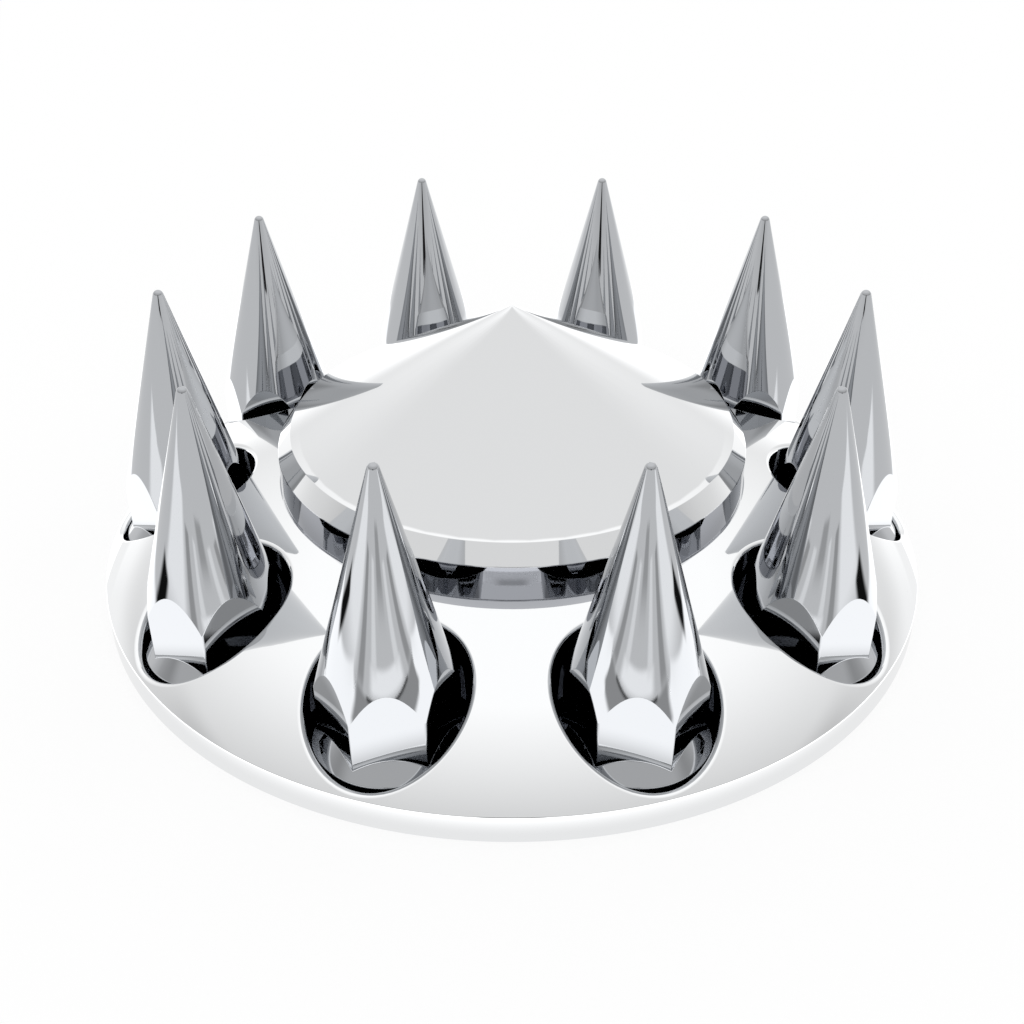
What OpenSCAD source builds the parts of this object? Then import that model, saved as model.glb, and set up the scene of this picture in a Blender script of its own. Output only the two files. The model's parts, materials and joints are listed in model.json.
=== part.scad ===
// Truck front axle cover: a chromed dish over the wheel hub, a pointed cap that pulls
// off its centre collar, and ten spiked covers screwed on over the lug nuts.
// The origin is the centre of the skirt's lower edge, and +Z points away from the wheel.

/* [Dish] */
// Outside diameter of the dish
dish_d = 354; // [310:1:400]
// Width of the dish between its edge and a well, which puts the lugs on a circle of 285.75
rim_web = 4.125; // [2.5:0.125:6]
// Height of the upright skirt round the dish
skirt_h = 11.5; // [8:0.5:16]
// Height of the flat land that the centre cap stands on
land_h = 45.4; // [40:0.2:52]
// How far inside the land's outer edge the arc of the dome has its centre
dome_arc_in = 6; // [0:1:100]
// Wall thickness of the dish, skirt and wells
dish_wall = 2.5; // [2:0.1:3]
// Size of the broken edge between skirt and dome
rim_chamfer = 0.8; // [0.4:0.1:1.5]
// Height that the collar stands up inside the cap
collar_h = 10; // [6:0.5:12]
// Wall thickness of the collar
collar_wall = 2.5; // [2:0.1:3.5]

/* [Wells] */
// Inside diameter of the well round each nut cover
well_d = 60; // [56:0.5:66]
// Thickness of the well floor
well_floor_t = 2.5; // [2:0.1:3.5]

/* [Centre cap] */
// Width of the dish between the wells and the cap's upright wall
cap_gap = 13.275; // [8:0.025:30]
// Height of the cap's upright wall
cap_wall_h = 15.1; // [13:0.1:20]
// Height of the bevel above the upright wall
cap_bevel_h = 7.3; // [4:0.1:10]
// How far the bevel leans in
cap_bevel_in = 5.6; // [3:0.1:8]
// Height of the pointed cone above the bevel
cap_cone_h = 52.6; // [30:0.2:70]
// Radius of the rounded point
cap_point_r = 1.6; // [0.8:0.1:4]
// Wall thickness of the cap
cap_wall = 2.5; // [2:0.1:3.5]
// Number of fingers that grip the collar from inside
finger_count = 8; // [4:1:12]
// Angle that each finger spans
finger_deg = 14; // [6:1:20]
// Thickness of a finger
finger_t = 2.4; // [1.6:0.1:3]
// How far the fingers reach down past the collar's upper edge
finger_reach = 13; // [8:0.5:18]

/* [Nut covers] */
// Height of a nut cover from its foot to its tip
nut_cover_h = 120.65; // [80:0.05:140]
// Wall between the bore and the hexagon's flats
hex_wall = 2; // [1.6:0.1:3]
// Half angle of the spike's cone
spike_half_angle = 15.1; // [13.5:0.1:16.5]
// Radius of the rounded tip
spike_tip_r = 2.2; // [1:0.1:4]
// Height of the foot flange's upright edge
foot_edge_h = 7; // [4:0.2:9]
// Slope of the foot flange above its edge
foot_slope_deg = 49; // [40:1:55]
// Wall thickness of the spike
spike_wall = 2.2; // [1.6:0.1:2.6]
// Turn of the two front hexagons from pointing straight outwards, towards the front
hex_turn_front = -7.3; // [-30:0.1:30]
// Turn of the next two hexagons
hex_turn_front_side = -4.3; // [-30:0.1:30]
// Turn of the hexagons at the left and right
hex_turn_side = 13.2; // [-30:0.1:30]
// Turn of the next two hexagons towards the back
hex_turn_back_side = -26.5; // [-30:0.1:30]
// Turn of the two back hexagons
hex_turn_back = -7.3; // [-30:0.1:30]

/* [Threaded sleeves] */
// Hexagon of the lug nut across its flats
lug_nut_af = 33; // [30:0.5:36]
// Thinnest wall of the sleeve, outside the socket's corners
sleeve_wall = 1.3; // [1:0.1:2]
// Diameter of the hole for the lug stud
stud_hole_d = 24; // [22:0.1:28]
// Height of the hexagonal socket
socket_h = 25.4; // [20:0.2:28]
// Thickness of the stop above the socket
stop_t = 3; // [2:0.1:4]
// How far the sleeve's foot ring reaches out past the thread
sleeve_foot_out = 4.4; // [2:0.1:6]
// Thickness of the sleeve's foot ring
sleeve_foot_t = 3.2; // [2:0.1:4]

/* [Clearances] */
// Gap between the cap and the collar, on each face
cap_clear = 0.3; // [0.2:0.05:0.5]
// Gap between the sleeve's thread and the nut cover's bore
thread_clear = 0.1; // [0.05:0.01:0.1]
// Gap round a nut cover's foot in its well
foot_clear = 1.2; // [0.6:0.1:2]
// Gap between the skirt's lower edge and the underside of the sleeve's foot ring
sleeve_lift = 0.5; // [0.2:0.1:1]
// Gap between the sleeve and the hole in the well floor
floor_clear = 0.4; // [0.2:0.05:0.6]
// Play of the lug nut in its hexagonal socket, across the flats
socket_clear = 0.4; // [0.2:0.05:0.8]
// Width of the land outside the cap's foot
land_margin = 0.6; // [0.3:0.1:1.5]

/* [Hidden] */
$fn = 96;
ARC_FN = 180;
CUT = 1;
ARC_STEPS = 6;
LUG_COUNT = 10;
LUG_STEP = 360 / LUG_COUNT;
two_digits = function (i) str(i < 10 ? "0" : "", i);
nut_cover_name = function (i) str("nut_cover_", two_digits(i));
sleeve_name = function (i) str("nut_sleeve_", two_digits(i));

dish_r = dish_d / 2;
well_r = well_d / 2;
bolt_r = dish_r - rim_web - well_r;
cap_r = bolt_r - well_r - cap_gap;
land_r = cap_r + land_margin;
// The dome is one arc turned round the axis, from the land's edge to the skirt's upper edge
arc_centre_r = max(land_r - dome_arc_in, 0);
arc_out = dish_r - arc_centre_r;
arc_centre_h = ((land_r - arc_centre_r) ^ 2 + land_h ^ 2 - arc_out ^ 2 - skirt_h ^ 2)
    / (2 * (land_h - skirt_h));
arc_r = sqrt(arc_out ^ 2 + (skirt_h - arc_centre_h) ^ 2);
collar_r = cap_r - cap_wall - cap_clear;
hub_bore_r = collar_r - collar_wall;
socket_corner_r = (lug_nut_af + socket_clear) / sqrt(3);
thread_r = socket_corner_r + sleeve_wall;
lug_hole_r = thread_r + floor_clear;
well_floor_h = sleeve_lift + sleeve_foot_t + well_floor_t;
finger_r = hub_bore_r - cap_clear;

crease_r = cap_r - cap_bevel_in;
crease_h = cap_wall_h + cap_bevel_h;
cap_h = crease_h + cap_cone_h;

nut_bore_r = thread_r + thread_clear;
cone_apex = nut_cover_h + spike_tip_r / sin(spike_half_angle) - spike_tip_r;
spike_side = tan(spike_half_angle);
hex_flat_r = nut_bore_r + hex_wall;
hex_corner_r = hex_flat_r / cos(30);
foot_r = well_r - foot_clear;
bore_top = cone_apex - (nut_bore_r + spike_wall / cos(spike_half_angle)) / spike_side;
cavity_top = cone_apex - spike_wall / sin(spike_half_angle);

// Angle of a lug about the axis, the first on +X
lug_angle = function (i) LUG_STEP * (i - 1);
// The hexagons stop at any angle; the right half mirrors the left, as they were photographed
hex_turns = [
    hex_turn_front, hex_turn_front_side, hex_turn_side, hex_turn_back_side, hex_turn_back
];
hex_turn = function (i)
    cos(lug_angle(i)) < 0 ? hex_turns[8 - i] : -hex_turns[(i + 1) % LUG_COUNT];
// Points of a round point or tip on the axis, from the side to the top
tip_arc = function (r, top, side_deg) [
    for (k = [0:ARC_STEPS])
        let (a = side_deg + (90 - side_deg) * k / ARC_STEPS)
        [r * cos(a), top - r + r * sin(a)]
];
// Corner p of an outline moved in by t, between edges that face n and m
inset = function (p, n, m, t) p - t * (n + m) / (1 + n * m);

// Puts its children on lug i, with +X pointing outwards
module at_lug(i) {
    rotate([0, 0, lug_angle(i)]) translate([bolt_r, 0, 0]) children();
}

// The outside of the dish as a solid, or what is left of it when every face moves in
module dome_body(moved_in) {
    rotate_extrude()
        intersection() {
            union() {
                translate([arc_centre_r, arc_centre_h])
                    circle(r = arc_r - moved_in, $fn = ARC_FN);
                translate([0, -moved_in])
                    square([arc_centre_r, land_h]);
            }
            translate([0, -moved_in])
                square([dish_r - moved_in, land_h]);
        }
}

// Takes the sharp corner off between skirt and dome
module rim_edge() {
    difference() {
        translate([0, 0, skirt_h - rim_chamfer])
            cylinder(r = dish_r + CUT, h = 4 * rim_chamfer);
        translate([0, 0, skirt_h - rim_chamfer])
            cylinder(r1 = dish_r, r2 = dish_r - 2 * rim_chamfer, h = 4 * rim_chamfer);
    }
}

// Chromed one-piece dish with its skirt, ten wells and centre collar
module cover() {
    color("gainsboro")
        difference() {
            union() {
                difference() {
                    dome_body(0);
                    difference() {
                        dome_body(dish_wall);
                        for (i = [1:LUG_COUNT])
                            at_lug(i)
                                translate([0, 0, well_floor_h - well_floor_t])
                                    cylinder(r = well_r + dish_wall, h = land_h);
                    }
                    rim_edge();
                }
                translate([0, 0, land_h - dish_wall])
                    cylinder(r = collar_r, h = dish_wall + collar_h);
            }
            for (i = [1:LUG_COUNT])
                at_lug(i) {
                    translate([0, 0, well_floor_h])
                        cylinder(r = well_r, h = land_h);
                    cylinder(r = lug_hole_r, h = land_h);
                }
            translate([0, 0, -CUT])
                cylinder(r = hub_bore_r, h = land_h + collar_h + 2 * CUT);
        }
}

// Outline of the pointed cap, moved in by t
module cap_outline(t) {
    bevel_deg = atan2(cap_bevel_in, cap_bevel_h);
    cone_deg = atan2(crease_r, cap_cone_h);
    side = [1, 0];
    bevel = [cos(bevel_deg), sin(bevel_deg)];
    cone = [cos(cone_deg), sin(cone_deg)];
    tip = cap_h - t / sin(cone_deg);
    blunt = max(cap_point_r - t, 0.2);
    polygon(concat(
        [[0, 0], [cap_r - t, 0]],
        [inset([cap_r, cap_wall_h], side, bevel, t), inset([crease_r, crease_h], bevel, cone, t)],
        tip_arc(blunt, tip + blunt - blunt / sin(cone_deg), cone_deg)
    ));
}

// Pointed cap with the fingers that hold it on the collar
module hub_cap() {
    color("whitesmoke")
        translate([0, 0, land_h]) {
            rotate_extrude()
                difference() {
                    cap_outline(0);
                    translate([0, -CUT])
                        square([cap_r - cap_wall, 2 * CUT]);
                    cap_outline(cap_wall);
                }
            for (k = [1:finger_count])
                rotate([0, 0, 360 / finger_count * k - finger_deg / 2])
                    rotate_extrude(angle = finger_deg)
                        intersection() {
                            translate([finger_r - finger_t, collar_h - finger_reach])
                                square([finger_t, cap_h]);
                            translate([0, -finger_reach])
                                square([cap_r, finger_reach + cap_wall_h + cap_bevel_h / 2]);
                        }
        }
}

// Hollow spike whose foot is a hexagon on a sloping round flange
module nut_cover(i) {
    color("lightgray")
        at_lug(i)
            translate([0, 0, well_floor_h])
                difference() {
                    union() {
                        intersection() {
                            rotate([0, 0, hex_turn(i)])
                                cylinder(r = hex_corner_r, h = nut_cover_h + CUT, $fn = 6);
                            rotate_extrude()
                                polygon(concat(
                                    [[0, 0], [cone_apex * spike_side, 0]],
                                    tip_arc(spike_tip_r, nut_cover_h, spike_half_angle)
                                ));
                        }
                        foot_flange();
                    }
                    spike_cavity();
                }
}

// Flange at a nut cover's foot: an upright edge, then a slope up to the hexagon
module foot_flange() {
    inner_r = hex_flat_r - spike_wall / 2;
    rotate_extrude()
        polygon([
            [0, 0],
            [foot_r, 0],
            [foot_r, foot_edge_h],
            [inner_r, foot_edge_h + (foot_r - inner_r) * tan(foot_slope_deg)],
            [0, foot_edge_h + (foot_r - inner_r) * tan(foot_slope_deg)]
        ]);
}

// Threaded bore and the hollow cone above it, which takes the end of the stud
module spike_cavity() {
    rotate_extrude()
        polygon([
            [0, -CUT],
            [nut_bore_r, -CUT],
            [nut_bore_r, bore_top],
            [0, cavity_top]
        ]);
}

// Black sleeve pushed onto a lug nut, with the thread that the nut cover screws onto
module nut_sleeve(i) {
    color("dimgray")
        at_lug(i)
            translate([0, 0, sleeve_lift])
                difference() {
                    union() {
                        cylinder(r = thread_r + sleeve_foot_out, h = sleeve_foot_t);
                        cylinder(r = thread_r, h = socket_h + stop_t);
                    }
                    translate([0, 0, -CUT])
                        rotate([0, 0, hex_turn(i)])
                            cylinder(r = socket_corner_r, h = socket_h + CUT, $fn = 6);
                    cylinder(d = stud_hole_d, h = socket_h + stop_t + CUT);
                }
}

cover();
hub_cap();
for (i = [1:LUG_COUNT]) {
    nut_cover(i);
    nut_sleeve(i);
}
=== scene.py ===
"""Looks of a truck front axle cover: a chromed dish with ten wells, a pointed cap and spiked nut covers.

Every surface is worked out with numpy as rows of points with their normals, in millimetres,
and welded into one closed mesh a piece. The frame gives the lugs' places.
"""

import json
import logging
import math
from dataclasses import dataclass, field
from enum import Enum
from typing import Optional, Sequence, Union

import bpy
import numpy as np
from bpy.types import Material, Mesh, Node, NodeSocket, NodeTree
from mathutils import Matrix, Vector

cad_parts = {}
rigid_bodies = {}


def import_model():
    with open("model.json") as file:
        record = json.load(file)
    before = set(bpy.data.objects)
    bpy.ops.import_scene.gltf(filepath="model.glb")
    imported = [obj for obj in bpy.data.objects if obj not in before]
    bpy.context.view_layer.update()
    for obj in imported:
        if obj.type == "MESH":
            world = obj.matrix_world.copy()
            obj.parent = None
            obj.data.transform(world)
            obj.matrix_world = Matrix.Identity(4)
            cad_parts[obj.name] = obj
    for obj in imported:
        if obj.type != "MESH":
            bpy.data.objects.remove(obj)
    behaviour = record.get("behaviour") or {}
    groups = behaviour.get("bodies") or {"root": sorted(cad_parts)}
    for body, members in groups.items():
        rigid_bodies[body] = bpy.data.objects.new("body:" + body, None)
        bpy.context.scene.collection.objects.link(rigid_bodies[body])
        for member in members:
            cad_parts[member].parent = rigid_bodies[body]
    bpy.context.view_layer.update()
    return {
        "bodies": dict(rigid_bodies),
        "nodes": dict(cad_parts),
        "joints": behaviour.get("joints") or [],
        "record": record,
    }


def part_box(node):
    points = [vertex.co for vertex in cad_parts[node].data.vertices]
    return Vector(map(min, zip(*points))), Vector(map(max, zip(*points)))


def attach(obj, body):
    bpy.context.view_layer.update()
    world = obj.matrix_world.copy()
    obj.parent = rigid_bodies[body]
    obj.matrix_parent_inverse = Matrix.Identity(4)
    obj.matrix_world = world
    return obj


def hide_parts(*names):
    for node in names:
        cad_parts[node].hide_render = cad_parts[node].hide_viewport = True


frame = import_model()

log = logging.getLogger("axle_cover")

MM = 0.001
LUG_COUNT = 10
LUG_STEP = 2 * math.pi / LUG_COUNT
SIXTH = math.pi / 3
# Degrees that each hexagon is turned from pointing outwards, from the front of a half to its back.
HEX_TURNS = (-7.3, -4.3, 13.2, -26.5, -7.3)
UP = np.array([0.0, 0.0, 1.0])
# Points that round to the same step of this size become one. The shift keeps round values off
# the edge of a step.
WELD_MM = 1e-5
WELD_SHIFT_MM = 0.1234567
SMALL_ANGLE = 1e-4
# Where the dome's rows stand, as shares of the way from a well's lip to the outline of its tenth.
DOME_SHARES = (1.0, 0.9, 0.8, 0.7, 0.6, 0.5, 0.4, 0.3, 0.2, 0.12, 0.06, 0.02, 0.0)
# How much painted shade the undersides take.
HIDDEN_SHADE = 0.6
# How far the dish's flat land shows outside the cap.
LAND_CLEAR_MM = 0.6
# How far the floor lies under the skirt, and the patches over each other.
FLOOR_DROP_MM = 0.2
PATCH_GAP_MM = 0.01
SMOOTH = {"interpolation_type": "SMOOTHSTEP"}
RANGE = ("Value", "From Min", "From Max", "To Min", "To Max")
WHITE = (1.0, 1.0, 1.0, 1.0)
Array = np.ndarray
Numbers = Union[float, Array]
NodeOrSocket = Union[Node, NodeSocket]


class Slot(Enum):
    """The record's material slots."""

    DISH = "chrome_dish"
    CAP = "chrome_cap"
    SPIKE = "chrome_spike"
    SLEEVE = "black_sleeve"


def unit(v: Array) -> Array:
    """Vectors over their own length."""
    return v / np.linalg.norm(v, axis=-1, keepdims=True)


def around(angles: Array) -> Array:
    """Unit vectors that point outwards at each angle about Z."""
    return np.stack([np.cos(angles), np.sin(angles), np.zeros_like(angles)], -1)


def slope_normal(angles: Array, lift: float) -> Array:
    """Normals at each angle about Z that lift by this angle above the horizontal."""
    return math.cos(lift) * around(angles) + math.sin(lift) * UP


def turned(v: Array, angle: float) -> Array:
    """Vectors turned about Z by an angle."""
    c, s = math.cos(angle), math.sin(angle)
    return v @ np.array([[c, s, 0.0], [-s, c, 0.0], [0.0, 0.0, 1.0]])


@dataclass
class Rows:
    """Rows of points across a surface, each with its normal and how much painted shade it takes.

    Attributes:
        points: millimetres, shaped (rows, columns, 3).
        normals: unit vectors of the same shape.
        painted_shade: painted shade that darkens the chrome, 0 in the open to 1 deep in a well, shaped
            (rows, columns).
    """

    points: Array
    normals: Array
    painted_shade: Array

    @classmethod
    def of(cls, points: Array, normals: Array, painted_shade: Numbers = 0.0) -> "Rows":
        """Rows from points and normals, where one normal or one painted shade may stand for all.

        Args:
            points: millimetres, as one row or as rows of points.
            normals: unit vectors of a shape that fits the points.
            painted_shade: how much painted shade they take, 0 to 1.

        Returns:
            the rows.
        """
        points = points if points.ndim == 3 else points[None]
        shape = points.shape[:2]
        normals = np.broadcast_to(normals, points.shape).copy()
        return cls(points, normals, np.broadcast_to(painted_shade, shape).copy())

    @classmethod
    def stack(cls, *parts: "Rows") -> "Rows":
        """Rows one after another."""
        fields = ("points", "normals", "painted_shade")
        return cls(*(np.concatenate([getattr(part, name) for part in parts]) for name in fields))

    def columns(self, keep: Array) -> "Rows":
        """The rows with only some of their columns, in the order given."""
        return Rows(self.points[:, keep], self.normals[:, keep], self.painted_shade[:, keep])


def ball_round(
    centre: Array, before: Array, after: Array, radius: float, steps: int, painted_shade: Numbers = 0.0
) -> Rows:
    """The round of a ball whose centre runs along between two faces.

    Row k is the centre plus radius times the unit vector that is k / steps of the way round
    from n1 to n2.

    Args:
        centre: places of the ball's centre, one a column.
        before: normals of the face that comes first, n1.
        after: normals of the face that comes next, n2.
        radius: of the ball, below 0 for an inside edge.
        steps: faces across the round.
        painted_shade: how much painted shade it takes.

    Returns:
        steps + 1 rows.
    """
    angle = np.arccos(np.clip(np.sum(before * after, -1, keepdims=True), -1, 1))
    t = np.linspace(0, 1, steps + 1)[:, None, None]
    small = angle < SMALL_ANGLE
    safe = np.where(small, 1.0, np.sin(angle))
    first = np.where(small, 1 - t, np.sin((1 - t) * angle) / safe)
    second = np.where(small, t, np.sin(t * angle) / safe)
    normals = unit(first * before + second * after)
    return Rows.of(centre + radius * normals, normals, painted_shade)


def rounded_edge(
    edge: Array, before: Array, after: Array, radius: float, steps: int = 5, painted_shade: Numbers = 0.0
) -> Rows:
    """The round that a ball leaves along an edge, where its centre is edge - radius (n1 + n2) / (1 + n1.n2).

    Args:
        edge: points of the sharp edge, one a column.
        before: normals of the face that comes first, n1.
        after: normals of the face that comes next, n2.
        radius: of the ball, below 0 for an inside edge and 0 for a sharp one.
        steps: faces across the round.
        painted_shade: how much painted shade the round takes.

    Returns:
        steps + 1 rows, or two at the same place for a sharp edge.
    """
    before, after = np.broadcast_to(before, edge.shape), np.broadcast_to(after, edge.shape)
    if radius == 0:
        return Rows.of(np.stack([edge, edge]), np.stack([before, after]), painted_shade)
    dot = np.clip(np.sum(before * after, -1, keepdims=True), -1, 1)
    return ball_round(edge - radius * (before + after) / (1 + dot), before, after, radius, steps, painted_shade)


def spaced(first: Array, last: Array, steps: int, power: float = 1.0) -> Array:
    """Rows of points on the way from one row to another, where row k lies (k / steps)^power along.

    Args:
        first: the row at the start.
        last: the row at the end.
        steps: faces between the two.
        power: above 1 crowds the rows at the start.

    Returns:
        steps + 1 rows, with both ends.
    """
    return first + np.linspace(0, 1, steps + 1)[:, None, None] ** power * (last - first)


def ball_end(
    centre_z: float, radius: float, lift: float, angles: Array, steps: int, inside: bool = False
) -> Rows:
    """The part of a ball on the Z axis that rounds off a cone, from the cone's normal to the pole.

    Row k is the centre plus radius times the unit vector that rises by lift + k / steps of
    what is left to straight up.

    Args:
        centre_z: height of the ball's centre.
        radius: of the ball.
        lift: how far the cone's normal lifts above the horizontal.
        angles: where the columns stand.
        steps: faces from the cone to the pole.
        inside: True turns the normals inwards.

    Returns:
        rows from the cone to the pole.
    """
    rise = np.linspace(lift, math.pi / 2, steps + 1)[:, None, None]
    normals = np.cos(rise) * around(angles) + np.sin(rise) * UP
    return Rows.of(centre_z * UP + radius * normals, -normals if inside else normals)


def lathe(
    outline: Sequence[tuple[float, float, float]], angles: Array, whole: bool = True, steps: int = 5
) -> Rows:
    """Carries an outline of corners round the Z axis, each corner rounded.

    The outline runs so that the outside is on its right-hand side, which is anticlockwise
    when it is whole.

    Args:
        outline: corners as (distance from the axis, height, radius of the round).
        angles: where the columns stand, in radians.
        whole: True joins the last corner to the first. False leaves both ends open and plain.
        steps: faces across each round.

    Returns:
        the rows of the surface.
    """
    corners = np.array([c[:2] for c in outline], float)
    ahead = unit(np.roll(corners, -1, 0) - corners)
    facing = np.stack([ahead[:, 1], -ahead[:, 0]], -1)
    radial = around(angles)
    rows = []
    for k, (r, z, radius) in enumerate(outline):
        edge = r * radial + z * UP
        n_in, n_out = (facing[j][0] * radial + facing[j][1] * UP for j in (k - 1, k))
        if not whole and k in (0, len(outline) - 1):
            rows.append(Rows.of(edge, n_out if k == 0 else n_in))
        else:
            rows.append(rounded_edge(edge, n_in, n_out, radius, steps))
    if whole:
        rows.append(Rows.of(rows[0].points[0], rows[0].normals[0]))
    return Rows.stack(*rows)


def grid_quads(rows: int, columns: int) -> Array:
    """The corners of each cell of a grid whose points are numbered row by row.

    Args:
        rows: how many rows of points.
        columns: points in a row.

    Returns:
        four point numbers a cell, in order round it.
    """
    index = np.arange(rows * columns).reshape(rows, columns)
    corners = (index[:-1, :-1], index[:-1, 1:], index[1:, 1:], index[1:, :-1])
    return np.stack(corners, -1).reshape(-1, 4)


class Shell:
    """Grids of points that weld into one mesh."""

    def __init__(self) -> None:
        """Starts with no grids."""
        self.points: list[Array] = []
        self.normals: list[Array] = []
        self.painted_shade: list[Array] = []
        self.quads: list[Array] = []
        self.count = 0

    @classmethod
    def closed(cls, *grids: Rows) -> "Shell":
        """A shell of grids that each run all the way round.

        Args:
            *grids: its parts.

        Returns:
            the shell.
        """
        shell = cls()
        for rows in grids:
            shell.add(rows, closed=True)
        return shell

    def add(self, rows: Rows, closed: bool = False, turns: Sequence[float] = (0.0,)) -> None:
        """Adds a grid, once for each turn about Z.

        Args:
            rows: the grid, where each cell becomes a face that looks the way of its normals.
            closed: True joins the last column to the first.
            turns: angles about Z at which the grid is repeated.
        """
        if closed:
            rows = rows.columns(np.append(np.arange(rows.points.shape[1]), 0))
        n, m = rows.points.shape[:2]
        quads = grid_quads(n, m)
        flat, flat_normals = rows.points.reshape(-1, 3), rows.normals.reshape(-1, 3)
        corners = flat[quads]
        facing = np.cross(corners[:, 2] - corners[:, 0], corners[:, 3] - corners[:, 1])
        if np.sum(facing * flat_normals[quads].sum(1)) < 0:
            quads = quads[:, ::-1]
        for turn in turns:
            self.points.append(turned(flat, turn))
            self.normals.append(turned(flat_normals, turn))
            self.painted_shade.append(rows.painted_shade.reshape(-1))
            self.quads.append(quads + self.count)
            self.count += n * m

    def mesh(self, name: str, middle: Array) -> Mesh:
        """Welds the grids where they meet and writes the mesh, with its own normal at each corner.

        Args:
            name: the mesh's name.
            middle: where the shell's own origin goes, in millimetres.

        Returns:
            the mesh in metres. Corners of a face that share a place become one, so cells
            that run to a point become triangles and cells without area go.
        """
        points, normals = np.concatenate(self.points), np.concatenate(self.normals)
        painted_shade, quads = np.concatenate(self.painted_shade), np.concatenate(self.quads)
        keys = np.round((points + WELD_SHIFT_MM) / WELD_MM).astype(np.int64)
        _, first, place = np.unique(keys, axis=0, return_index=True, return_inverse=True)
        place = place.reshape(-1)
        corner = place[quads]
        # A corner goes where it repeats the one before it, or the one across the cell.
        keep = corner != np.roll(corner, 1, 1)
        keep &= ~((corner[:, [2, 3, 0, 1]] == corner) & (np.arange(4) >= 2))
        sides = keep.sum(1)
        keep &= (sides >= 3)[:, None]
        loop_vertex, loop_source = corner[keep], quads[keep]
        totals = keep.sum(1)
        totals = totals[totals > 0]
        mesh = bpy.data.meshes.new(name)
        mesh.vertices.add(len(first))
        mesh.vertices.foreach_set("co", ((points[first] + middle) * MM).ravel())
        mesh.loops.add(len(loop_vertex))
        mesh.loops.foreach_set("vertex_index", loop_vertex.astype(np.int32))
        mesh.polygons.add(len(totals))
        starts = np.concatenate([[0], np.cumsum(totals)[:-1]]).astype(np.int32)
        mesh.polygons.foreach_set("loop_start", starts)
        mesh.update(calc_edges=True)
        mesh.polygons.foreach_set("use_smooth", np.ones(len(totals), bool))
        mesh.normals_split_custom_set(normals[loop_source])
        # Each point's painted shade, which darkens its chrome, goes into a mesh attribute.
        shade = mesh.attributes.new("painted_shade", "FLOAT", "POINT")
        shade.data.foreach_set("value", painted_shade[first].astype(np.float32))
        return mesh


def piece(mesh: Mesh, body: str, nodes: Sequence[str], material: Material) -> None:
    """Puts a mesh in the scene as a piece of the object.

    Args:
        mesh: the finished mesh, whose name the object takes.
        body: the CAD body it rides on.
        nodes: the CAD nodes it stands for.
        material: its finish.
    """
    obj = bpy.data.objects.new(mesh.name, mesh)
    bpy.context.scene.collection.objects.link(obj)
    mesh.materials.append(material)
    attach(obj, body)
    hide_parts(*nodes)
    log.info("%s: %d faces on body %s", obj.name, len(mesh.polygons), body)


def linear(code: str) -> tuple[float, float, float, float]:
    """An sRGB hex colour as Blender's linear one.

    Args:
        code: six hex digits, such as "D8DBDD".

    Returns:
        red, green, blue and an alpha of 1.
    """
    parts = (int(code[i : i + 2], 16) / 255 for i in (0, 2, 4))
    r, g, b = (c / 12.92 if c <= 0.04045 else ((c + 0.055) / 1.055) ** 2.4 for c in parts)
    return (r, g, b, 1.0)


def add_node(tree: NodeTree, kind: str, inputs: Optional[dict] = None, **settings) -> Node:
    """Adds a shader node with its settings and links.

    Args:
        tree: the node tree.
        kind: the node's type name, without ShaderNode in front.
        inputs: for each input, by name or number, a value, the socket that feeds it, or the
            node whose first output does.
        **settings: properties of the node itself.

    Returns:
        the node.
    """
    node = tree.nodes.new(f"ShaderNode{kind}")
    for name, value in settings.items():
        setattr(node, name, value)
    for key, value in (inputs or {}).items():
        if isinstance(value, Node):
            value = value.outputs[0]
        if isinstance(value, NodeSocket):
            tree.links.new(value, node.inputs[key])
        else:
            node.inputs[key].default_value = value
    return node


def blank_material(name: str) -> tuple[Material, NodeTree]:
    """Makes a material and empties its node tree.

    Args:
        name: the material's name.

    Returns:
        the material and its tree.
    """
    made = bpy.data.materials.new(name)
    made.use_nodes = True
    made.node_tree.nodes.clear()
    return made, made.node_tree


def dress(tree: NodeTree, tones: Sequence, relief: dict, depth_mm: float, inputs: dict) -> None:
    """Fills a material's tree with a shader that mixes two colours and has a faint relief.

    Args:
        tree: the node tree.
        tones: the share of the second colour, then both colours.
        relief: inputs of the noise that the relief follows.
        depth_mm: how deep the relief is.
        inputs: further inputs of the shader.
    """
    colour = add_node(tree, "Mix", dict(zip(("Factor", "A", "B"), tones)), data_type="RGBA")
    place = add_node(tree, "TexCoord").outputs["Object"]
    height = add_node(tree, "TexNoise", {"Vector": place, **relief})
    bump = add_node(tree, "Bump", {"Height": height, "Distance": depth_mm * MM, "Strength": 1.0})
    inputs = {"Base Color": colour.outputs["Result"], "Normal": bump, **inputs}
    add_node(tree, "OutputMaterial", {"Surface": add_node(tree, "BsdfPrincipled", inputs)})


@dataclass(frozen=True)
class Chrome:
    """Bright chrome plated on moulded ABS: a near mirror, with painted shade that darkens it in recesses, on
    undersides and on the cap's wall.

    Attributes:
        name: the material's name.
        open_colour: the plating in the open, as sRGB hex.
        painted_shade_colour: the plating where the painted shade is full.
        roughness: of the polished plating.
        wave_mm: size of the faint waves that the moulding leaves.
        wave_depth_mm: how deep they are.
    """

    name: str
    open_colour: str = "F2F3F4"
    painted_shade_colour: str = "9A9CA2"
    roughness: float = 0.03
    wave_mm: float = 45.0
    wave_depth_mm: float = 0.004

    def material(self) -> Material:
        """Builds the node tree.

        Returns:
            the material.
        """
        made, tree = blank_material(self.name)
        # Painted shade: the mesh's attribute mixes the plating towards the darker colour, in wells, on
        # undersides and on the cap's wall.
        painted_shade = add_node(tree, "Attribute", attribute_name="painted_shade").outputs["Fac"]
        tones = (painted_shade, linear(self.open_colour), linear(self.painted_shade_colour))
        # Waves this faint bend the mirror images a little, as on any plated moulding.
        waves = {"Scale": 1 / (self.wave_mm * MM), "Detail": 1.0}
        dress(tree, tones, waves, self.wave_depth_mm, {"Metallic": 1.0, "Roughness": self.roughness})
        return made


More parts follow.
